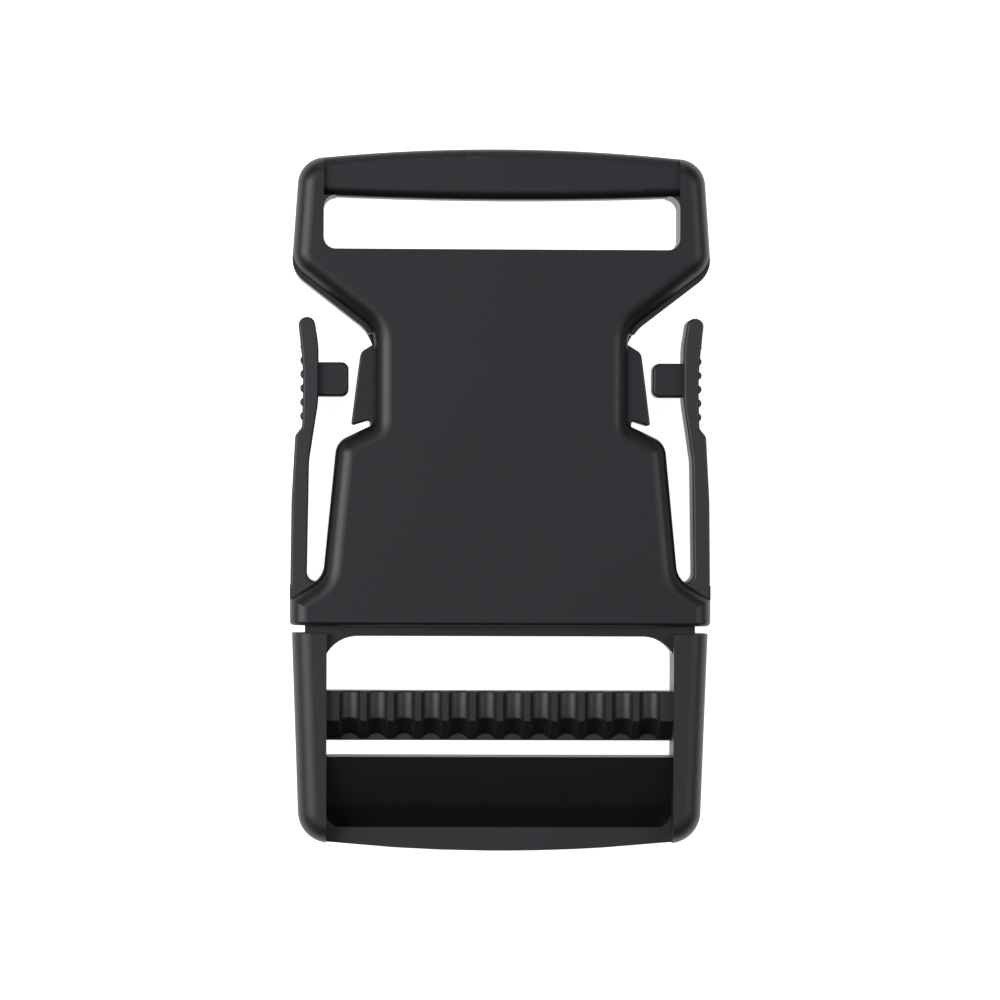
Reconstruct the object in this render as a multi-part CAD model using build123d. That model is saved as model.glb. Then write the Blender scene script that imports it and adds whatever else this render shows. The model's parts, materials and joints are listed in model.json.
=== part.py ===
"""Side-release buckle for 38 mm webbing, latched, lying on its back.

Two mouldings make the real buckle, and each is divided here into its working parts:
the socket (body, strap bar, squeeze levers) and the plug (ladder-lock frame, guide
tongue, latch prongs). X runs across the buckle, Y from the plug up to the strap bar,
Z up from the back. The origin is under the middle of the buckle, on its back face.
"""

from build123d import *
import os
from math import atan2, radians, tan

# ---- sizes in millimetres ----------------------------------------------------------

webbing_width = 38.0

# socket body, across
slot_play = 2.0             # strap slot wider than the webbing
wing_top_width = 2.75       # wing beside the slot, at its upper corner
wing_low_width = 3.57       # wing beside the slot, at its lower corner
block_margin = 3.67         # mouth block outside the end of the strap slot
bay_foot_depth = 3.72       # lever bay, from the block's side to the foot of the flank
flank_lean = 1.47           # flank leans in by this from its foot to the shoulder
shoulder_depth = 4.2        # from the shoulder corner in to the neck

# socket body, along, from the mouth up
block_height = 3.0
bay_foot_angle = 32.9       # slope of the bay's foot
flank_length = 15.23
shoulder_angle = 25.2       # slope of the catch shoulder
neck_length = 10.64
flare_angle = 37.7          # slope of the wings' undersides
back_drop = 0.7             # back shell and tail stand below the front there
neck_to_slot = 9.0
slot_height = 6.02
strap_bar_depth = 5.33      # at the middle
strap_bar_bow = 1.3         # outer edge, middle above the wing corners
inner_edge_bow = 0.42       # slot edge of the strap bar, middle below its ends

# socket body, through
body_thickness = 9.0
shell = 1.8                 # front and back shell
strap_bar_thickness = 4.6
strap_bar_sink = 1.0        # strap bar's face below the wings
strap_bar_round = 1.1
tail_rise = 1.6             # back of the tail lifts by this towards the strap bar
front_round = 2.0
back_round = 1.2
edge_round = 0.45           # rim of the mouth

# corner radii of the body's outline
bay_foot_radius = 2.5
shoulder_radius = 2.2
neck_foot_radius = 1.0
neck_top_radius = 3.0
neck_back_radius = 4.4
wing_low_radius = 3.2
wing_top_radius = 3.1
slot_radius = 1.35

# squeeze levers
lever_inset = 0.02          # lever's outer face inside the mouth block's
stem_thickness = 1.87
stem_draft = 0.12           # stem leans in by this over its straight length
stem_lean = 0.52            # and by this at its top
stem_lean_rise = 0.7        # where it has leaned in, above the shoulder corner
stem_inner_draft = 0.22     # its inner face leans in by this
lever_height = 6.0          # through the buckle
stem_end_drop = 6.6         # end of the straight stem, below the shoulder corner
stem_inner_rise = 4.5       # end of the straight inner face, above that
grip_rise = 1.6             # foot of the grip, above the shoulder corner
grip_recess = 1.27          # grip sits in from the stem's outer face
grip_hollow = 0.12          # grip is hollowed by this along its length
grip_thickness = 1.85
grip_length = 12.4
grip_inner_low = 3.0        # inner face straight from here above the grip's foot
grip_inner_high = 3.2       # and up to here, below the tip
tip_flare = 0.64
tip_radius = 0.9
tooth_count = 6
tooth_start = 1.27          # first tooth above the foot of the grip
tooth_pitch = 1.57
tooth_radius = 0.5
tooth_stand = 0.25
knuckle_radius = 0.93
knuckle_inset = 0.08        # knuckle's centre inside the middle of the stem
knuckle_drop = 0.55         # knuckle's centre below the foot of the flank
hinge_clearance = 0.05
seat_wall = 0.6             # web inside the knuckle's seat
seat_depth = 0.35           # web's edge below the knuckle's centre
tab_length = 3.85           # along the lever
tab_height = 3.8            # through the buckle
tab_round = 0.8
tab_above_hook = 2.6

# plug and latch
fit_clearance = 0.3         # plug inside socket, each side
mouth_depth = 2.7
mouth_wall = 1.4
mouth_gap = 0.92            # rim to frame rails, latched
push_travel = 0.8           # plug can go in this much further
stem_reach = 0.42           # prong's outer face outside the neck
prong_width = 2.4
barb_stand = 2.15           # barb outside the prong's outer face
barb_taper = 1.1            # barb narrower at its top
barb_length = 9.0
hook_angle = 17.6           # underside of the hook leans down by this
latch_play = 0.72           # hook above the catch shoulder
catch_clearance = 0.3       # catch wall outside the prong
catch_thickness = 2.1
tab_clearance = 0.62        # pusher tab to barb
prong_knuckle_radius = 0.9
prong_knuckle_sink = 0.3    # knuckle's centre below the base's edge
prong_foot_gap = 0.25       # prong's square foot above the base
base_clearance = 0.1        # base to the pocket's end, plug pushed in
tongue_width = 9.2
tongue_taper = 1.6          # each side, over the taper's length
tongue_taper_length = 5.0
tongue_tip_setback = 7.0    # tongue ends below the cavity's end
end_clearance = 0.3         # barb's top to the cavity's end, plug pushed in

# ladder-lock frame
frame_play = 1.0            # frame wider than the webbing
rail_top_width = 3.93
rail_low_width = 3.08
rail_height = 7.8
rail_round = 2.2
frame_corner_radius = 3.6
frame_bow = 1.35            # outer edge, middle below the corners
tilt_bar_bow = 0.12         # inner edge, middle above its ends
crossbar_drop = 0.28        # crossbar's lower edge below the rails' ends
gusset_width = 1.2
gusset_drop = 2.0
gusset_radius = 4.0
tail_opening = 6.17         # crossbar to gripping bar
grip_bar_width = 5.69
grip_bar_top = 7.0
grip_bar_bottom = 2.4
grip_bar_land = 3.45        # flat top of the gripping bar
grip_bar_ledge = 1.0        # plain foot under the flutes
flute_count = 12
flute_pitch = 3.07
flute_radius = 0.95
flute_depth = 0.65
lock_slot = 1.69            # gripping bar to tilt bar
ramp_length = 8.1
ramp_top = 8.0
ramp_foot = 3.0
lip_top = 4.2
lip_depth = 2.66            # at the middle
tilt_bar_thickness = 2.6
tilt_rib = 1.6              # stiffening rib under the tilt bar's inner edge
tilt_rib_foot = 1.2
pocket_radius = 1.6

# corner radii of the levers, the prongs, the crossbar and the tongue
stem_bend_radius = 25.0
stem_inner_radius = 8.0
grip_bend_radius = 0.8
grip_hollow_radius = 30.0
grip_inner_low_radius = 12.0
grip_inner_high_radius = 8.0
hook_root_radius = 0.3
hook_tip_radius = 0.25
barb_top_radius = 1.0
barb_top_inner_radius = 0.6
barb_nose_taper = 0.5       # prong's inner face runs out by this at its top
barb_nose_length = 3.0
base_corner_radius = 0.6
tongue_shoulder_radius = 6.0
tongue_tip_radius = 1.2

past = 1.0                  # how far a cutter runs past what it cuts
merge = 0.5                 # how far a piece runs into one that it joins

# ---- places worked out from the sizes ------------------------------------------------

half_slot = (webbing_width + slot_play) / 2
block_x = half_slot + block_margin
foot_x = block_x - bay_foot_depth
shoulder_x = foot_x - flank_lean
neck_x = shoulder_x - shoulder_depth
wing_low_x = half_slot + wing_low_width
wing_top_x = half_slot + wing_top_width

foot_rise = bay_foot_depth * tan(radians(bay_foot_angle))
shoulder_rise = shoulder_depth * tan(radians(shoulder_angle))
mouth_to_slot = block_height + foot_rise + flank_length + shoulder_rise + neck_length + neck_to_slot
socket_length = mouth_to_slot + slot_height + strap_bar_depth
frame_length = crossbar_drop + tail_opening + grip_bar_width + lock_slot + ramp_length + lip_depth

mouth_y = (mouth_gap + frame_length - socket_length) / 2
block_y = mouth_y + block_height
foot_y = block_y + foot_rise
shoulder_y = foot_y + flank_length
neck_y = shoulder_y + shoulder_rise
flare_y = neck_y + neck_length
wing_low_y = flare_y + (wing_low_x - neck_x) * tan(radians(flare_angle))
slot_y = mouth_y + mouth_to_slot
bar_y = slot_y + slot_height
top_y = bar_y + strap_bar_depth

middle_z = body_thickness / 2
core_thickness = body_thickness - 2 * shell - 2 * fit_clearance

stem_x = neck_x + stem_reach
barb_x = stem_x + barb_stand
cavity_x = barb_x + fit_clearance
catch_x = stem_x + catch_clearance
catch_y = neck_y - (catch_x - neck_x) * tan(radians(shoulder_angle)) - catch_thickness
hook_y = neck_y - (stem_x - neck_x) * tan(radians(shoulder_angle)) + latch_play
barb_top_y = hook_y + barb_length - stem_reach
cavity_end_y = barb_top_y + push_travel + end_clearance

mouth_x = block_x - mouth_wall
pocket_y = mouth_y + mouth_depth
base_y = pocket_y - push_travel - base_clearance
frame_y = mouth_y - mouth_gap
rail_x = (webbing_width + frame_play) / 2
opening_y = frame_y - crossbar_drop
grip_bar_y = opening_y - tail_opening
lock_y = grip_bar_y - grip_bar_width
tilt_y = lock_y - lock_slot
lip_y = tilt_y - ramp_length
bottom_y = lip_y - lip_depth

lever_x = block_x - lever_inset
knuckle_x = lever_x - stem_thickness / 2 - knuckle_inset
knuckle_y = foot_y - knuckle_drop
tab_y = hook_y + tab_above_hook
prong_knuckle_x = stem_x - prong_width / 2
prong_knuckle_y = base_y - prong_knuckle_sink


# ---- helpers -------------------------------------------------------------------------

def both_sides(corners):
    """Mirrors a right-hand run of (x, y, radius) corners to make the whole outline."""
    return corners + [(-x, y, r) for x, y, r in reversed(corners)]


def outline(corners):
    """Closed face through (x, y, radius) corners. A radius of 0 leaves a corner sharp."""
    points = [(x, y) for x, y, _ in corners]
    return make_face(FilletPolyline(*points, radius=[r for _, _, r in corners], close=True))


def bowed_outline(corners, crown_y):
    """The same outline, with its first and last corners joined by an arc through crown_y."""
    points = [(x, y) for x, y, _ in corners]
    closing = ThreePointArc(points[-1], (0, crown_y), points[0])
    face = make_face(Polyline(*points) + closing)
    for x, y, radius in corners:
        if radius:
            face = fillet(face.vertices().sort_by_distance((x, y, 0))[0], radius)
    return face


def slab(face, low, high):
    """Stands a plan face between two heights."""
    return extrude(Pos(0, 0, low) * face, high - low)


def block(x0, x1, y0, y1, z0, z1):
    """A plain box between two opposite corners."""
    return Pos(x0, y0, z0) * Box(x1 - x0, y1 - y0, z1 - z0, align=(Align.MIN,) * 3)


def bar(profile, half_length):
    """A profile of (y, z) points, run along X."""
    face = make_face(Polyline(*[(0, y, z) for y, z in profile], close=True))
    return extrude(face, half_length, dir=(1, 0, 0), both=True)


def level_edges(solid, height, above_y=None):
    """The edges that lie at one height, and above a line across the part if one is given."""
    edges = solid.edges().filter_by_position(Axis.Z, height - 0.001, height + 0.001)
    return edges if above_y is None else edges.filter_by(lambda e: e.center().Y > above_y)


def mirrored(solid):
    return mirror(solid, about=Plane.YZ)


# ---- socket --------------------------------------------------------------------------

def body_corners(neck_radius, drop):
    """Right half of the body's outline, from the mouth up, with the wing's underside dropped."""
    wing_top_y = top_y - strap_bar_bow
    run_out = drop * (wing_low_x - wing_top_x) / (wing_top_y - wing_low_y)
    return [
        (block_x, mouth_y, 0),
        (block_x, block_y, 0),
        (foot_x, foot_y, bay_foot_radius),
        (shoulder_x, shoulder_y, shoulder_radius),
        (neck_x, neck_y, neck_foot_radius),
        (neck_x, flare_y - drop, neck_radius),
        (wing_low_x + run_out, wing_low_y - drop, wing_low_radius),
        (wing_top_x, wing_top_y, wing_top_radius),
    ]


def body_blank(neck_radius, drop):
    """The body with its rounded edges, before the cavity and the strap slot."""
    corners = both_sides(body_corners(neck_radius, drop)[::-1])
    blank = slab(bowed_outline(corners, top_y), 0, body_thickness)
    blank = fillet(level_edges(blank, body_thickness, mouth_y + 0.01), front_round)
    blank = fillet(level_edges(blank, 0, mouth_y + 0.01), back_round)
    return fillet(blank.faces().sort_by(Axis.Y)[0].edges(), edge_round)


def moulded_body():
    """Body outside: the front shell's outline on top, the prouder back outline below it."""
    split_z = body_thickness - shell
    reach = block_x + past
    above = block(-reach, reach, mouth_y - past, top_y + past, split_z, body_thickness + past)
    below = block(-reach, reach, mouth_y - past, top_y + past, -past, split_z)
    front, back = body_blank(neck_top_radius, 0), body_blank(neck_back_radius, back_drop)
    return front & above, back & below


def latch_cavity():
    """Mouth pocket, chamber, throat between the catch walls, and the two side windows."""
    low, high = shell, body_thickness - shell
    pocket = block(-mouth_x, mouth_x, mouth_y - past, pocket_y, low, high)
    chamber = block(-cavity_x, cavity_x, pocket_y - past, catch_y, low, high)
    throat = block(-catch_x, catch_x, catch_y - past, neck_y + past, low, high)
    windows = block(-block_x, block_x, neck_y, cavity_end_y, low, high)
    return pocket + chamber + throat + windows


def lever_foot():
    """Web between the block and a lever, with the round seat that the lever turns in."""
    low = middle_z - lever_height / 2
    seat_radius = knuckle_radius + hinge_clearance
    web_y = knuckle_y - seat_depth
    web = outline([
        (block_x, block_y - merge, 0), (block_x, web_y, 0),
        (knuckle_x - seat_radius - seat_wall, web_y, 0), (foot_x, block_y - merge, 0),
    ])
    plates = outline(both_sides(body_corners(neck_top_radius, 0)[:4]))
    seat = Pos(knuckle_x, knuckle_y) * Circle(seat_radius)
    return slab(web - plates - seat, low, low + lever_height)


def tail_wedge():
    """What is taken off the back so that the tail lifts towards the strap bar."""
    over = top_y + past
    profile = [(cavity_end_y, 0), (slot_y, tail_rise), (over, tail_rise), (over, -past),
               (cavity_end_y, -past)]
    return bar(profile, block_x + past)


def strap_slot():
    """Through slot for the sewn loop, with its four rounded corners."""
    corners = [(half_slot, slot_y, slot_radius), (half_slot, bar_y, slot_radius)]
    return slab(outline(both_sides(corners)), -past, body_thickness + past)


def strap_bar():
    """Lower bar that the sewn loop goes round, bowed on both edges."""
    inner = ThreePointArc((-half_slot, bar_y), (0, bar_y - inner_edge_bow), (half_slot, bar_y))
    over = top_y + past
    ends = Polyline((half_slot, bar_y), (half_slot, over), (-half_slot, over), (-half_slot, bar_y))
    body = bowed_outline(both_sides(body_corners(0, 0)[::-1]), top_y)
    plan = make_face(inner + ends) & body
    high = body_thickness - strap_bar_sink
    low = high - strap_bar_thickness
    solid = slab(plan, low, high)
    long_edges = [e for z in (low, high) for e in level_edges(solid, z) if e.length > half_slot]
    return fillet(long_edges, strap_bar_round)


def socket_nodes():
    """The socket's fixed parts, cut from one moulded body so that they meet face to face."""
    top, low = moulded_body()
    low = low - tail_wedge()
    hollow = latch_cavity()
    reach, under, over = block_x + past, -past, body_thickness + past
    core = block(-reach, reach, mouth_y - past, neck_y, shell, body_thickness - shell)
    shells = block(-reach, reach, mouth_y - past, cavity_end_y, under, over)
    tail = block(-reach, reach, cavity_end_y, slot_y, under, over)
    wing = block(half_slot - slot_radius, reach, slot_y, top_y + past, under, over)
    bar_gap = block(0, half_slot, bar_y, top_y + past, under, over)

    right_half = block(0, reach, mouth_y - past, neck_y, under, over)
    wall = ((low & core) - hollow) & right_half
    wall += lever_foot()
    cross = strap_bar()
    wing = ((top + low) & wing) - strap_slot() - bar_gap - cross
    return {
        "socket_front_shell": top & shells,
        "socket_back_shell": (low & shells) - core - hollow,
        "socket_wall_right": wall,
        "socket_wall_left": mirrored(wall),
        "socket_tail_block": (top + low) & tail,
        "socket_wing_right": wing,
        "socket_wing_left": mirrored(wing),
        "socket_strap_bar": cross,
    }


# ---- squeeze levers ------------------------------------------------------------------

def lever():
    """Right-hand lever: straight stem, hollowed grip with teeth, round tip, round knuckle."""
    stem_top = shoulder_y - stem_end_drop
    grip_low = shoulder_y + grip_rise
    grip_high = grip_low + grip_length
    inner = lever_x - stem_thickness
    grip_out = lever_x - grip_recess
    grip_in = grip_out - grip_thickness
    tip_out = grip_out - grip_hollow + tip_flare
    body = outline([
        (lever_x, knuckle_y, 0),
        (lever_x - stem_draft, stem_top, stem_bend_radius),
        (lever_x - stem_lean, shoulder_y + stem_lean_rise, grip_bend_radius),
        (grip_out, grip_low, grip_bend_radius),
        (grip_out - grip_hollow, (grip_low + grip_high) / 2, grip_hollow_radius),
        (tip_out, grip_high, tip_radius),
        (tip_out - grip_thickness, grip_high, tip_radius),
        (grip_in, grip_high - grip_inner_high, grip_inner_high_radius),
        (grip_in, grip_low + grip_inner_low, grip_inner_low_radius),
        (inner - stem_inner_draft, stem_top + stem_inner_rise, stem_inner_radius),
        (inner, knuckle_y, 0),
    ])
    low = middle_z - lever_height / 2
    knuckle = Pos(knuckle_x, knuckle_y) * Circle(knuckle_radius)
    face_x = grip_out - grip_hollow / 2 + tooth_stand - tooth_radius
    shape = body + knuckle
    for n in range(tooth_count):
        tooth_y = grip_low + tooth_start + n * tooth_pitch
        shape += Pos(face_x, tooth_y) * Circle(tooth_radius)
    return slab(shape, low, low + lever_height)


def pusher_tab(lever_solid):
    """Right-hand tab that reaches from the lever to the barb."""
    low = middle_z - tab_height / 2
    tab_end_y = tab_y + tab_length
    end_x = barb_edge(tab_y) + tab_clearance
    shape = outline([
        (end_x, tab_y, tab_round), (lever_x, tab_y, 0),
        (lever_x, tab_end_y, 0), (end_x, tab_end_y, tab_round),
    ])
    inside_lever = lever_x - grip_recess - grip_thickness / 2
    keep = block(end_x - past, inside_lever, tab_y - past, tab_end_y + past, 0, body_thickness)
    return (slab(shape, low, low + tab_height) & keep) - lever_solid


# ---- plug ----------------------------------------------------------------------------

def barb_edge(y):
    """Where the barb's outer face stands at a height along the buckle."""
    return barb_x - barb_taper * (y - hook_y) / barb_length


def latch_prong():
    """Right-hand prong: knuckle at the crossbar, straight arm, barb with its hook."""
    inner = stem_x - prong_width
    hook_tip_y = hook_y - barb_stand * tan(radians(hook_angle))
    shape = outline([
        (inner, base_y + prong_foot_gap, 0),
        (stem_x, base_y + prong_foot_gap, 0),
        (stem_x, hook_y, hook_root_radius),
        (barb_x, hook_tip_y, hook_tip_radius),
        (barb_edge(barb_top_y), barb_top_y - barb_top_radius, barb_top_radius),
        (stem_x - barb_nose_taper, barb_top_y, barb_top_radius),
        (inner + barb_nose_taper, barb_top_y, barb_top_inner_radius),
        (inner, barb_top_y - barb_nose_length, barb_nose_length),
    ])
    low = shell + fit_clearance
    knuckle = Pos(prong_knuckle_x, prong_knuckle_y) * Circle(prong_knuckle_radius)
    return slab(shape + knuckle, low, low + core_thickness)


def plug_crossbar():
    """Base that closes the socket's mouth, with gussets down to the rails."""
    low = shell + fit_clearance
    neck = mouth_x - fit_clearance
    shape = outline(both_sides([
        (rail_x - gusset_width, opening_y, gusset_radius),
        (rail_x, opening_y - gusset_drop, 0),
        (rail_x, frame_y, 0),
        (neck, frame_y, 0),
        (neck, base_y, base_corner_radius),
    ]))
    solid = slab(shape, low, low + core_thickness)
    seat = Pos(prong_knuckle_x, prong_knuckle_y) * Circle(prong_knuckle_radius + hinge_clearance)
    seats = slab(seat, 0, body_thickness)
    return solid - seats - mirrored(seats)


def guide_tongue():
    """Centre tongue that keeps the plug straight as it goes in."""
    half = tongue_width / 2
    tip_y = cavity_end_y - tongue_tip_setback
    low = shell + fit_clearance
    shape = outline(both_sides([
        (half, base_y, 0),
        (half, tip_y - tongue_taper_length, tongue_shoulder_radius),
        (half - tongue_taper, tip_y, tongue_tip_radius),
    ]))
    return slab(shape, low, low + core_thickness)


def frame_outline():
    """Outer outline of the ladder-lock frame."""
    right = [
        (rail_x + rail_low_width, bottom_y + frame_bow, frame_corner_radius),
        (rail_x + rail_top_width, frame_y, 0),
    ]
    return bowed_outline(both_sides(right), bottom_y)


def plug_rail():
    """Right-hand side of the frame, crowned along its outer edge."""
    low = middle_z - rail_height / 2
    solid = slab(frame_outline(), low, low + rail_height)
    for height, radius in ((low + rail_height, rail_round), (low, back_round)):
        outer = [e for e in level_edges(solid, height) if e.center().Y < frame_y - 0.01]
        solid = fillet(outer, radius)
    side = block(rail_x, block_x + past, bottom_y - past, frame_y + past, 0, body_thickness)
    return solid & side


def flute(front_angle):
    """Round cutter that follows the gripping bar's flat top and then its steep front."""
    lift = flute_radius - flute_depth
    corner_y = grip_bar_y - grip_bar_land - lift * tan(front_angle / 2)
    corner_z = grip_bar_top + lift
    run = grip_bar_top
    path = Polyline(
        (0, grip_bar_y + past, corner_z),
        (0, corner_y, corner_z),
        (0, corner_y - run / tan(front_angle), corner_z - run),
    )
    start = Plane(origin=path @ 0, z_dir=path % 0)
    return sweep(start * Circle(flute_radius), path, transition=Transition.RIGHT)


def gripping_bar():
    """Ribbed bar: flutes run over its flat top and down its steep front to a plain foot."""
    foot_z = grip_bar_bottom + grip_bar_ledge
    edge_y = grip_bar_y - grip_bar_land
    solid = bar([
        (grip_bar_y, grip_bar_bottom), (grip_bar_y, grip_bar_top), (edge_y, grip_bar_top),
        (lock_y, foot_z), (lock_y, grip_bar_bottom),
    ], rail_x)
    front_angle = atan2(grip_bar_top - foot_z, edge_y - lock_y)
    above_foot = block(-rail_x, rail_x, tilt_y, opening_y, foot_z, grip_bar_top + flute_radius * 2)
    cutter = flute(front_angle)
    for n in range(flute_count):
        solid -= Pos((n - (flute_count - 1) / 2) * flute_pitch, 0, 0) * cutter & above_foot
    return solid


def tilt_bar():
    """Ramp with a rib under its inner edge, sunk into a bar whose lip is lifted by the thumb."""
    low = middle_z - rail_height / 2
    inner_y = tilt_y + tilt_bar_bow
    fall = (ramp_top - ramp_foot) / (inner_y - lip_y)
    under_top = ramp_top - tilt_bar_thickness * (1 + fall ** 2) ** 0.5
    rib_y = inner_y - tilt_rib
    solid = bar([
        (inner_y, ramp_top), (inner_y - (ramp_top - lip_top) / fall, lip_top),
        (bottom_y - past, lip_top), (bottom_y - past, low),
        (inner_y - (under_top - low) / fall, low), (rib_y, under_top - tilt_rib * fall),
        (rib_y, tilt_rib_foot), (inner_y, tilt_rib_foot),
    ], rail_x)
    edge = ThreePointArc((-rail_x, tilt_y), (0, inner_y), (rail_x, tilt_y))
    under = bottom_y - past
    sides = Polyline((rail_x, tilt_y), (rail_x, under), (-rail_x, under), (-rail_x, tilt_y))
    solid &= slab(make_face(edge + sides) & frame_outline(), 0, body_thickness)
    pocket = outline(both_sides([(rail_x, inner_y + past, 0), (rail_x, lip_y, pocket_radius)]))
    over_ramp = bar([
        (inner_y, ramp_top), (lip_y, ramp_foot), (lip_y, ramp_top + past), (inner_y, ramp_top + past),
    ], rail_x)
    return solid - (slab(pocket, 0, body_thickness + past) & over_ramp)


def plug_nodes():
    prong, rail = latch_prong(), plug_rail()
    return {
        "plug_crossbar": plug_crossbar(),
        "plug_rail_right": rail,
        "plug_rail_left": mirrored(rail),
        "gripping_bar": gripping_bar(),
        "tilt_bar": tilt_bar(),
        "guide_tongue": guide_tongue(),
        "latch_prong_right": prong,
        "latch_prong_left": mirrored(prong),
    }


def lever_nodes():
    arm = lever()
    tab = pusher_tab(arm)
    return {
        "squeeze_lever_right": arm,
        "squeeze_lever_left": mirrored(arm),
        "pusher_tab_right": tab,
        "pusher_tab_left": mirrored(tab),
    }


os.makedirs("parts", exist_ok=True)
for name, solid in (socket_nodes() | lever_nodes() | plug_nodes()).items():
    export_step(solid, f"parts/{name}.step")
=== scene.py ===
"""Looks of a black side-release buckle for 38 mm webbing, lying latched on a pale floor.

The sections follow the buckle as it is put together: the socket moulding, its squeeze
levers and pusher tabs, then the plug moulding, its latch prongs, gripping bar, crossbar and
tilt bar, and last the studio and the camera. Sizes of moulded pieces are in millimetres and
turn to metres where a mesh is made. The studio and the camera are in metres.
"""

import bmesh
import bpy
import json
from math import atan2, ceil, cos, pi, radians, sin, tan
from mathutils import Matrix, Vector


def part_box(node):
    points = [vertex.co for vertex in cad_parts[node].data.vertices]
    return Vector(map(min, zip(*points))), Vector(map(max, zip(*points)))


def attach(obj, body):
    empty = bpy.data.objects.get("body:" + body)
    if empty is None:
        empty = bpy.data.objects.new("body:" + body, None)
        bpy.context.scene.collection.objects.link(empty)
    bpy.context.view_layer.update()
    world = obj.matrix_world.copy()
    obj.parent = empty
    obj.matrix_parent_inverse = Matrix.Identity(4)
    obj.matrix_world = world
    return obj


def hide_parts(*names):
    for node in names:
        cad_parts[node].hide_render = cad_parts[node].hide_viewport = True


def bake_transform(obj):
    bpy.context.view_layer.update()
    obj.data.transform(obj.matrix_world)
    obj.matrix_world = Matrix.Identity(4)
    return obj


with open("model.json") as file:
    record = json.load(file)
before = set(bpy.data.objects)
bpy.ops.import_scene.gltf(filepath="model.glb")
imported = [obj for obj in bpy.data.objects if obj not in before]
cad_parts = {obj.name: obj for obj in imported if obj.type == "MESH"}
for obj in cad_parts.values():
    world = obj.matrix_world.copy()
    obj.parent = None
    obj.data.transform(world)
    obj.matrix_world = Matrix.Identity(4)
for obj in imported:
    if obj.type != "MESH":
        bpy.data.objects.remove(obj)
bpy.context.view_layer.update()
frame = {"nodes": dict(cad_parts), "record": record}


# ---- socket body -----------------------------------------------------------------------
# One injection moulding of black acetal: a flat hollow body with the strap slot and bar at
# its far end. The mould was spark-eroded, which leaves the skin matt and faintly grained.

mm = 0.001


def to_linear(hex_colour):
    """An sRGB hex colour as a linear RGBA tuple."""
    parts = [int(hex_colour[i:i + 2], 16) / 255 for i in (1, 3, 5)]
    return tuple(c / 12.92 if c <= 0.04045 else ((c + 0.055) / 1.055) ** 2.4 for c in parts) + (1.0,)


def add_node(tree, kind, settings=None, links=None):
    """Adds a node. Settings are attributes or input values, and links feed its inputs."""
    node = tree.nodes.new(kind)
    for name, value in (settings or {}).items():
        if isinstance(name, str) and hasattr(node, name):
            setattr(node, name, value)
        else:
            node.inputs[name].default_value = value
    for name, output in (links or {}).items():
        tree.links.new(output, node.inputs[name])
    return node


def spark_eroded_acetal(name, skin, flow, roughness, parting_mm):
    """Black acetal from a spark-eroded mould: fine matt grain, faint flow marks, and the
    slight ridge that the mould's parting leaves round the sides."""
    # The real grain is finer, and is drawn this coarse so that it shows.
    grain_mm, grain_depth_mm, grain_strength = 0.16, 0.006, 0.5
    flow_mm = 9.0
    ridge_mm, ridge_to_grain = 0.05, 4.0
    gloss_spread = 0.03
    first_colour, second_colour, mixed_colour = 6, 7, 2
    material = bpy.data.materials.new(name)
    material.use_nodes = True
    tree = material.node_tree
    shader = tree.nodes["Principled BSDF"]
    shader.inputs["IOR"].default_value = 1.48
    place = add_node(tree, "ShaderNodeTexCoord").outputs["Object"]
    grain = add_node(tree, "ShaderNodeTexNoise", {"Scale": 1 / (grain_mm * mm), "Detail": 2.0},
                     {"Vector": place})
    marks = add_node(tree, "ShaderNodeTexNoise", {"Scale": 1 / (flow_mm * mm), "Detail": 1.0},
                     {"Vector": place})
    colour = add_node(tree, "ShaderNodeMix", {
        "data_type": "RGBA", first_colour: to_linear(skin), second_colour: to_linear(flow)},
        {0: marks.outputs["Fac"]})
    tree.links.new(colour.outputs[mixed_colour], shader.inputs["Base Color"])
    gloss = add_node(tree, "ShaderNodeMapRange", {
        "To Min": roughness - gloss_spread, "To Max": roughness + gloss_spread},
        {"Value": grain.outputs["Fac"]})
    tree.links.new(gloss.outputs["Result"], shader.inputs["Roughness"])
    height = add_node(tree, "ShaderNodeSeparateXYZ", links={"Vector": place}).outputs["Z"]
    ridge = add_node(tree, "ShaderNodeMath", {
        "operation": "COMPARE", 1: parting_mm * mm, 2: ridge_mm * mm}, {0: height})
    relief = add_node(tree, "ShaderNodeMath", {"operation": "MULTIPLY_ADD", 1: ridge_to_grain},
                      {0: ridge.outputs[0], 2: grain.outputs["Fac"]})
    bump = add_node(tree, "ShaderNodeBump", {"Strength": grain_strength, "Distance": grain_depth_mm * mm},
                    {"Height": relief.outputs[0]})
    tree.links.new(bump.outputs["Normal"], shader.inputs["Normal"])
    return material


def skin_body(body, skin):
    """Gives all the CAD nodes of a body one skin."""
    for name in frame["record"]["behaviour"]["bodies"][body]:
        for slot in frame["nodes"][name].material_slots:
            slot.material = skin


# Near black with a soft sheen. The mould parts level with the underside of the front shell.
socket_skin = spark_eroded_acetal("black_acetal_spark_eroded", "#0f0f10", "#111112", 0.43, 7.2)
skin_body("socket", socket_skin)


# ---- squeeze levers --------------------------------------------------------------------
# Springy arms of the socket moulding. Each grows out of the mouth block round a small U-shaped
# root, and its grip has six rounded teeth outside.

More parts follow.
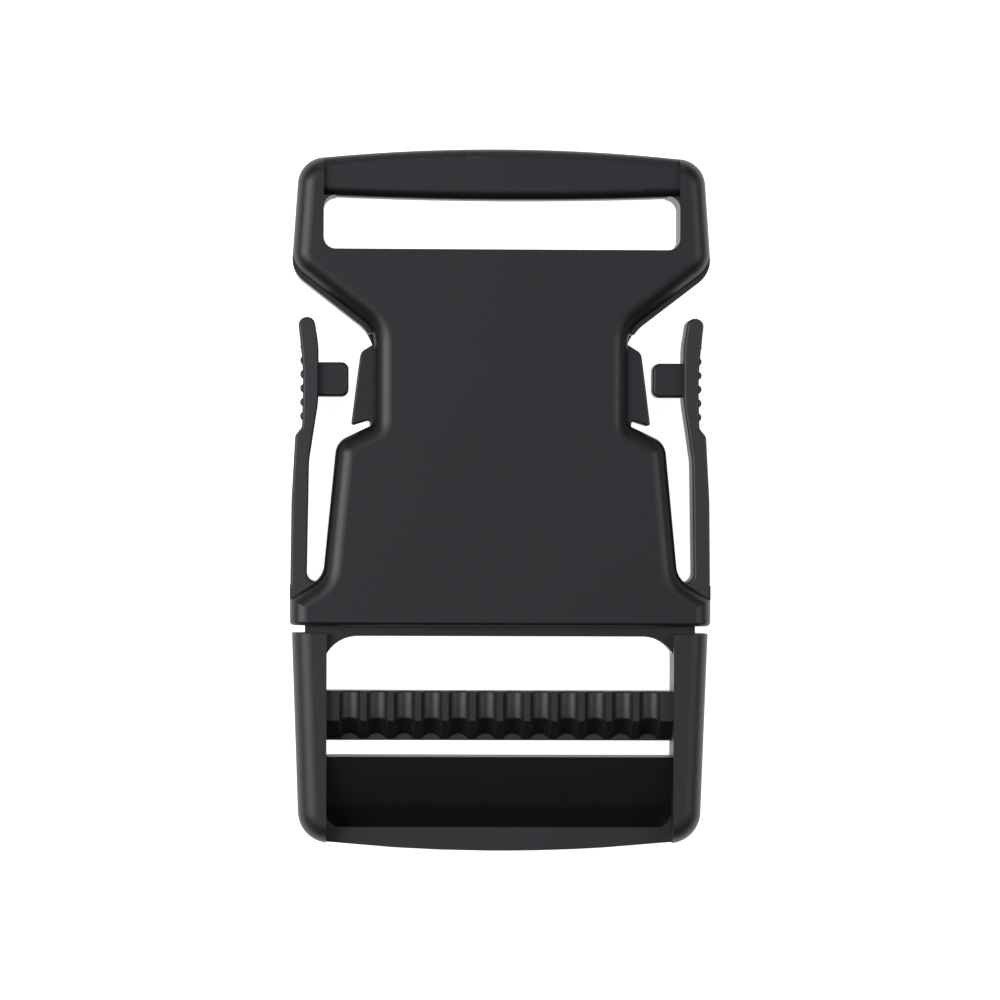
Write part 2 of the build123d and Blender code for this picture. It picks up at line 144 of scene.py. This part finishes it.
def rounded(corners, spacing_mm=1.0):
    """The outline through (x, y, radius) corners in mm, with arcs and evenly divided edges."""
    arc_step, least_turn = radians(15), 0.01
    arcs = []
    for n, (x, y, radius) in enumerate(corners):
        corner = Vector((x, y))
        back = (Vector(corners[n - 1][:2]) - corner).normalized()
        on = (Vector(corners[(n + 1) % len(corners)][:2]) - corner).normalized()
        turn = pi - back.angle(on)
        if radius == 0 or turn < least_turn:
            arcs.append([corner])
            continue
        reach = radius * tan(turn / 2)
        centre = corner + (back + on).normalized() * radius / cos(turn / 2)
        start = corner + back * reach - centre
        sweep = turn if start.cross(corner + on * reach - centre) > 0 else -turn
        steps = max(2, ceil(turn / arc_step))
        arcs.append([centre + Matrix.Rotation(sweep * k / steps, 2) @ start for k in range(steps + 1)])
    points = []
    for arc, following in zip(arcs, arcs[1:] + arcs[:1]):
        gap = following[0] - arc[-1]
        parts = max(1, round(gap.length / spacing_mm))
        points += arc + [arc[-1] + gap * k / parts for k in range(1, parts)]
    return points


def moulding(name, rings, material, ends=(True, True)):
    """A mesh through stacked rings of points in mm, closed by a flat face at each end asked for."""
    count = len(rings[0])
    last = len(rings) * count
    faces = []
    if ends[0]:
        faces.append(tuple(reversed(range(count))))
    if ends[1]:
        faces.append(tuple(range(last - count, last)))
    for low in range(0, (len(rings) - 1) * count, count):
        faces += [(low + n, low + (n + 1) % count, low + count + (n + 1) % count, low + count + n)
                  for n in range(count)]
    mesh = bpy.data.meshes.new(name)
    mesh.from_pydata([Vector(p) * mm for ring in rings for p in ring], [], faces)
    mesh.materials.append(material)
    piece = bpy.data.objects.new(name, mesh)
    bpy.context.scene.collection.objects.link(piece)
    return piece


def soft_slab(name, corners, low, high, edge, material, side=1):
    """An outline stood up between two heights in mm, with rounded rims. side -1 mirrors it."""
    rim_steps = 4
    points = [Vector((side * p.x, p.y)) for p in rounded(corners)]
    if sum(a.cross(b) for a, b in zip(points, points[1:] + points[:1])) < 0:
        points.reverse()
    inward = []
    for before, here, after in zip(points[-1:] + points[:-1], points, points[1:] + points[:1]):
        one, two = (here - before).normalized().orthogonal(), (after - here).normalized().orthogonal()
        inward.append((one + two) / (1 + one.dot(two)))
    levels = []
    for k in range(rim_steps + 1):
        angle = pi / 2 * k / rim_steps
        levels.append((edge * (1 - sin(angle)), edge * (1 - cos(angle))))
    heights = [(inset, low + rise) for inset, rise in levels]
    heights += [(inset, high - rise) for inset, rise in reversed(levels)]
    rings = [[(p.x + v.x * inset, p.y + v.y * inset, z) for p, v in zip(points, inward)]
             for inset, z in heights]
    return moulding(name, rings, material)


def repeated(name):
    """Node group: copies of a unit in a row, joined to the base and welded where they touch."""
    group = bpy.data.node_groups.new(name, "GeometryNodeTree")
    face = group.interface
    face.new_socket("Geometry", in_out="OUTPUT", socket_type="NodeSocketGeometry")
    face.new_socket("Base", in_out="INPUT", socket_type="NodeSocketGeometry")
    for label, kind in (("Unit", "Object"), ("Count", "Int"), ("First", "Vector"), ("Step", "Vector"),
                        ("Weld", "Float"), ("Material", "Material")):
        face.new_socket(label, in_out="INPUT", socket_type="NodeSocket" + kind)
    given = add_node(group, "NodeGroupInput").outputs
    row = add_node(group, "GeometryNodeMeshLine", {"mode": "OFFSET"},
                   {"Count": given["Count"], "Start Location": given["First"], "Offset": given["Step"]})
    unit = add_node(group, "GeometryNodeObjectInfo", links={"Object": given["Unit"]})
    copies = add_node(group, "GeometryNodeInstanceOnPoints",
                      links={"Points": row.outputs[0], "Instance": unit.outputs["Geometry"]})
    plain = add_node(group, "GeometryNodeRealizeInstances", links={"Geometry": copies.outputs[0]})
    joined = add_node(group, "GeometryNodeJoinGeometry", links={"Geometry": plain.outputs[0]})
    group.links.new(given["Base"], joined.inputs["Geometry"])
    welded = add_node(group, "GeometryNodeMergeByDistance",
                      links={"Geometry": joined.outputs[0], "Distance": given["Weld"]})
    skinned = add_node(group, "GeometryNodeSetMaterial",
                       links={"Geometry": welded.outputs[0], "Material": given["Material"]})
    add_node(group, "NodeGroupOutput", links={"Geometry": skinned.outputs[0]})
    return group


def keep_result(piece):
    """Keeps what the modifiers make as the mesh itself."""
    bpy.context.view_layer.update()
    mesh = bpy.data.meshes.new_from_object(piece.evaluated_get(bpy.context.evaluated_depsgraph_get()))
    piece.modifiers.clear()
    piece.data = mesh


def finished(piece, group=None, values=None):
    """Runs the node group, if one is given, with its values, then turns faces out and shades evenly."""
    crease = radians(32)
    if group:
        modifier = piece.modifiers.new("repeat", "NODES")
        modifier.node_group = group
        for item in group.interface.items_tree:
            if item.in_out == "INPUT" and item.name in values:
                modifier[item.identifier] = values[item.name]
        keep_result(piece)
    shape = bmesh.new()
    shape.from_mesh(piece.data)
    bmesh.ops.recalc_face_normals(shape, faces=shape.faces)
    shape.to_mesh(piece.data)
    shape.free()
    piece.data.shade_smooth()
    piece.data.set_sharp_from_angle(angle=crease)
    piece.modifiers.new("even", "WEIGHTED_NORMAL").keep_sharp = True
    keep_result(piece)


# A little lighter and more matt than the body. The mould parts half-way up.
lever_skin = spark_eroded_acetal("black_acetal_levers", "#232324", "#252526", 0.46, 4.5)
row_of_copies = repeated("row_of_copies")
sides = ((-1, "left"), (1, "right"))
lever_low, lever_high, lever_edge = 1.48, 7.52, 0.32
lever_outline = [
    (23.65, -11.3, 0), (23.53, 0.0, 25), (23.13, 7.29, 0.8), (22.38, 8.19, 0.8), (22.24, 14.39, 30),
    (22.90, 20.59, 0.9), (21.05, 20.59, 0.9), (20.53, 17.39, 8), (20.53, 11.19, 12), (21.56, 4.5, 8),
    (21.78, -9.13, 1.0), (19.85, -9.13, 0.8), (19.5, -8.1, 0), (19.2, -11.3, 0),
]
tooth_count, tooth_pitch, tooth_radius, tooth_sides = 6, 1.57, 0.5, 16
tooth_edge, tooth_drop, tooth_weld = 0.15, 0.12, 1e-7
tooth_x, first_tooth_y = 22.1, 9.46
tooth_outline = []
for n in range(tooth_sides):
    angle = 2 * pi * n / tooth_sides
    tooth_outline.append((tooth_radius * cos(angle), tooth_radius * sin(angle), 0))
for side, word in sides:
    lever = soft_slab("lever_" + word, lever_outline, lever_low, lever_high, lever_edge, lever_skin, side)
    tooth = soft_slab("tooth_" + word, tooth_outline, lever_low + tooth_drop, lever_high - tooth_drop,
                      tooth_edge, lever_skin)
    finished(lever, row_of_copies, {
        "Unit": tooth, "Count": tooth_count, "First": (side * tooth_x * mm, first_tooth_y * mm, 0),
        "Step": (0, tooth_pitch * mm, 0), "Weld": tooth_weld, "Material": lever_skin})
    bpy.data.objects.remove(tooth)
    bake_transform(lever)
    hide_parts("squeeze_lever_" + word)


# ---- pusher tabs -----------------------------------------------------------------------
# A blunt tab inside each lever, level with the barb that it pushes in. It is part of the same
# moulding, so its root flares into the lever.

tab_low, tab_high, tab_edge = 2.6, 6.4, 0.3
tab_outline = [
    (17.15, 11.69, 0.8), (20.75, 11.69, 0.5), (20.95, 11.2, 0), (21.5, 11.2, 0),
    (21.5, 16.03, 0), (20.95, 16.03, 0), (20.75, 15.54, 0.5), (17.15, 15.54, 0.8),
]
for side, word in sides:
    tab = soft_slab("tab_" + word, tab_outline, tab_low, tab_high, tab_edge, socket_skin, side)
    finished(tab)
    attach(tab, "lever_" + word)
    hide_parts("pusher_tab_" + word)


# ---- plug ------------------------------------------------------------------------------
# The second moulding of the same black acetal: crossbar, tongue and frame for the webbing.
# Its own mould parts half-way through the thickness.

# Between the body and the levers in tone, and as matt as the levers.
plug_skin = spark_eroded_acetal("black_acetal_plug", "#1b1b1c", "#1d1d1e", 0.46, 4.5)
skin_body("plug", plug_skin)


# ---- latch prongs ----------------------------------------------------------------------
# Two springy arms of the plug, with barbs that stand in the socket's windows. Faces that slide are
# polished in the mould, and their darker tone is painted shade.

# Nearly as dark as the body, with a tighter sheen. Its tone, darker than the plug's skin, is painted
# shade: for the prongs and crossbar, which lie shadowed under the socket, and for the tilt bar's
# ramp, which faces away from the light.
polished_skin_painted_shade = spark_eroded_acetal("black_acetal_polished_painted_shade", "#111112", "#131314", 0.38, 4.5)
prong_low, prong_high, prong_edge = 2.12, 6.88, 0.18
prong_outline = [
    (12.3, -13.7, 0), (14.7, -13.7, 0), (14.7, 9.089, 0.3), (16.85, 8.407, 0.25), (15.8, 16.67, 1.0),
    (14.2, 17.67, 1.0), (12.8, 17.67, 0.6), (12.3, 14.67, 3.0),
]
# The prongs' darker skin is painted shade for the shadow they lie in between the shells.
for side, word in sides:
    prong = soft_slab("prong_" + word, prong_outline, prong_low, prong_high, prong_edge, polished_skin_painted_shade, side)
    finished(prong)
    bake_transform(prong)
    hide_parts("latch_prong_" + word)


# ---- gripping bar ----------------------------------------------------------------------
# The bar that bites the webbing: moulded flutes run over its flat top and down its steep front
# to a plain foot. One flute with half a land on each side is repeated along the bar.

bar_low, bar_high = (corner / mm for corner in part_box("gripping_bar"))
bar_land, bar_foot = 3.45, 1.0
front_run = bar_high.y - bar_low.y - bar_land
front_rise = bar_high.z - bar_low.z - bar_foot
front_angle = atan2(front_rise, front_run)
flute_count, flute_pitch, flute_radius, flute_depth = 12, 3.07, 1.38, 0.65
flute_axis = flute_radius - flute_depth
half_flute = (flute_radius ** 2 - flute_axis ** 2) ** 0.5
half_pitch = flute_pitch / 2
half_row = flute_count * flute_pitch / 2
flute_steps, land_margin, least_ledge, flute_weld = 10, 0.12, 0.12, 1e-6


def bar_section(x):
    """The bar's section as (y, z) points in mm, at x mm along the bar from a flute's middle."""
    depth = max(0.0, max(0.0, flute_radius ** 2 - x ** 2) ** 0.5 - flute_axis)
    crest = bar_high.y - bar_land + depth * tan(front_angle / 2)
    foot = bar_low.y + max(depth, least_ledge) / sin(front_angle)
    section = rounded([
        (bar_low.y, bar_low.z, 0.2), (bar_high.y, bar_low.z, 0.2), (bar_high.y, bar_high.z - depth, 0.25),
        (crest, bar_high.z - depth, 0.3), (foot, bar_low.z + bar_foot, 0),
        (bar_low.y, bar_low.z + bar_foot, 0),
    ], spacing_mm=20)
    return [(p.x, p.y) for p in section]


def plain_end(name, near, far, ends):
    """A plain stretch of the bar between two places along it, closed at the ends asked for."""
    land = bar_section(half_pitch)
    return moulding(name, [[(x, *p) for p in land] for x in (near, far)], plug_skin, ends)


across = [half_flute * n / flute_steps for n in range(-flute_steps, flute_steps + 1)]
across = [-half_pitch, -half_flute - land_margin, *across, half_flute + land_margin, half_pitch]
flute = moulding("flute", [[(x, *p) for p in bar_section(x)] for x in across], plug_skin, (False, False))
gripping_bar = plain_end("gripping_bar_fluted", -bar_high.x, -half_row, (True, False))
far_end = plain_end("far_end", half_row, bar_high.x, (False, True))
shape = bmesh.new()
for mesh in (gripping_bar.data, far_end.data):
    shape.from_mesh(mesh)
shape.to_mesh(gripping_bar.data)
shape.free()
finished(gripping_bar, row_of_copies, {
    "Unit": flute, "Count": flute_count, "First": ((half_pitch - half_row) * mm, 0, 0),
    "Step": (flute_pitch * mm, 0, 0), "Weld": flute_weld, "Material": plug_skin})
for spare in (flute, far_end):
    bpy.data.objects.remove(spare)
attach(gripping_bar, "plug")
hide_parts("gripping_bar")


# ---- crossbar and tilt bar -------------------------------------------------------------
# Bars of the plug moulding whose edges a finger and the webbing meet. The mould's edges are
# broken there, so they end in small rounds. The tilt bar's ramp is polished for the webbing. The
# ramp and the crossbar take the darker skin, whose tone is painted shade.

def bevelled(shape, edges, radius_mm, segments):
    """Rounds some edges of a bmesh."""
    bmesh.ops.bevel(shape, geom=edges, offset=radius_mm * mm, offset_type="OFFSET", segments=segments,
                    profile=0.5, affect="EDGES", clamp_overlap=True)


def softened(name, radius_mm, skin, under_mm=0):
    """A copy of a CAD node with its sharp edges rounded, and its outer lower edge rounded more."""
    same_place, underside, outward = 0.001 * mm, 0.01 * mm, -0.7
    flat, sharp = radians(2), radians(30)
    shape = bmesh.new()
    shape.from_mesh(frame["nodes"][name].data)
    bmesh.ops.remove_doubles(shape, verts=shape.verts, dist=same_place)
    bmesh.ops.dissolve_limit(shape, angle_limit=flat, verts=shape.verts, edges=shape.edges)
    if under_mm:
        base = min(v.co.z for v in shape.verts) + underside
        under = [e for e in shape.edges if all(v.co.z < base for v in e.verts)
                 and any(f.normal.y < outward for f in e.link_faces)]
        bevelled(shape, under, under_mm, segments=5)
    corners = [e for e in shape.edges if len(e.link_faces) == 2 and e.calc_face_angle() > sharp]
    bevelled(shape, corners, radius_mm, segments=3)
    mesh = bpy.data.meshes.new(name + "_soft")
    shape.to_mesh(mesh)
    shape.free()
    mesh.materials.clear()
    mesh.materials.append(skin)
    piece = bpy.data.objects.new(name + "_soft", mesh)
    bpy.context.scene.collection.objects.link(piece)
    finished(piece)
    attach(piece, "plug")
    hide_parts(name)
    return piece


# The crossbar's darker skin is painted shade for the shadow under the socket's lip.
softened("plug_crossbar", 0.25, polished_skin_painted_shade)
tilt_bar = softened("tilt_bar", 0.2, plug_skin, under_mm=1.2)
# The ramp faces away from the light, and its faces get the darker skin as painted shade.
tilt_bar.data.materials.append(polished_skin_painted_shade)
ramp_slope, ramp_area = (0.75, 0.95), 10 * mm ** 2
for face in tilt_bar.data.polygons:
    if ramp_slope[0] < face.normal.z < ramp_slope[1] and face.normal.y < 0 and face.area > ramp_area:
        face.material_index = 1


# ---- studio ----------------------------------------------------------------------------
# A pale light table with soft boxes round it: one overhead, a strong one to the left, and
# weaker ones to the right and beyond the far end. The side nearest the viewer is left dark.

half_floor, floor_height = 1.5, -0.02 * mm
floor_mesh = bpy.data.meshes.new("floor")
floor_mesh.from_pydata([(x * half_floor, y * half_floor, floor_height)
                        for x, y in ((-1, -1), (1, -1), (1, 1), (-1, 1))], [], [(0, 1, 2, 3)])
floor = bpy.data.objects.new("floor", floor_mesh)
bpy.context.scene.collection.objects.link(floor)
# Opal acrylic lit from below, so it looks almost white all over.
table_top = bpy.data.materials.new("white_acrylic_light_table")
table_top.use_nodes = True
table_shader = table_top.node_tree.nodes["Principled BSDF"]
table_shader.inputs["Base Color"].default_value = to_linear("#f4f5f6")
table_shader.inputs["Roughness"].default_value = 0.6
table_shader.inputs["Emission Color"].default_value = to_linear("#ffffff")
table_shader.inputs["Emission Strength"].default_value = 0.92
floor_mesh.materials.append(table_top)


def soft_box(name, place, target, width, depth, power, colour):
    """A rectangular area light that looks from its place at a point."""
    light = bpy.data.lights.new(name, "AREA")
    light.shape = "RECTANGLE"
    light.size, light.size_y = width, depth
    light.energy = power
    light.color = colour
    lamp = bpy.data.objects.new(name, light)
    lamp.location = place
    lamp.rotation_euler = (Vector(target) - Vector(place)).to_track_quat("-Z", "Y").to_euler()
    bpy.context.scene.collection.objects.link(lamp)


cool, white = (0.86, 0.95, 1.12), (0.97, 0.98, 1.0)
soft_box("overhead_box", (0.0, 0.25, 0.80), (0, 0.05, 0), 0.7, 0.9, 1.2, cool)
soft_box("left_box", (-0.50, 0.05, 0.60), (0, 0, 0), 0.22, 0.6, 4.3, white)
soft_box("right_box", (0.52, 0.05, 0.60), (0, 0, 0), 0.2, 0.5, 1.5, white)
soft_box("far_box", (0.0, 0.75, 0.40), (0, 0, 0), 0.6, 0.3, 0.8, white)

world = bpy.data.worlds.new("studio_dark")
bpy.context.scene.world = world
world.use_nodes = True
world.node_tree.nodes["Background"].inputs["Color"].default_value = (0.02, 0.02, 0.02, 1)
world.node_tree.nodes["Background"].inputs["Strength"].default_value = 1.0
bpy.context.scene.view_settings.view_transform = "Standard"


# ---- camera ----------------------------------------------------------------------------
# It hangs high over the buckle, a little to the left, and looks almost straight down. The lens
# is long, so the buckle's sides hardly show.

view_width = 112.7 * mm
camera_place = Vector((-20 * mm, 0, 600 * mm))
aim = Vector((-0.04 * mm, 0.02 * mm, 6 * mm))
roll = radians(0.2)
sight = aim - camera_place
lens = bpy.data.cameras.new("camera")
lens.sensor_width = 36
lens.lens = lens.sensor_width * sight.length / view_width
camera = bpy.data.objects.new("camera", lens)
camera.location = camera_place
camera.rotation_euler = (atan2(sight.y, -sight.z), -atan2(sight.x, -sight.z), roll)
bpy.context.scene.collection.objects.link(camera)
bpy.context.scene.camera = camera
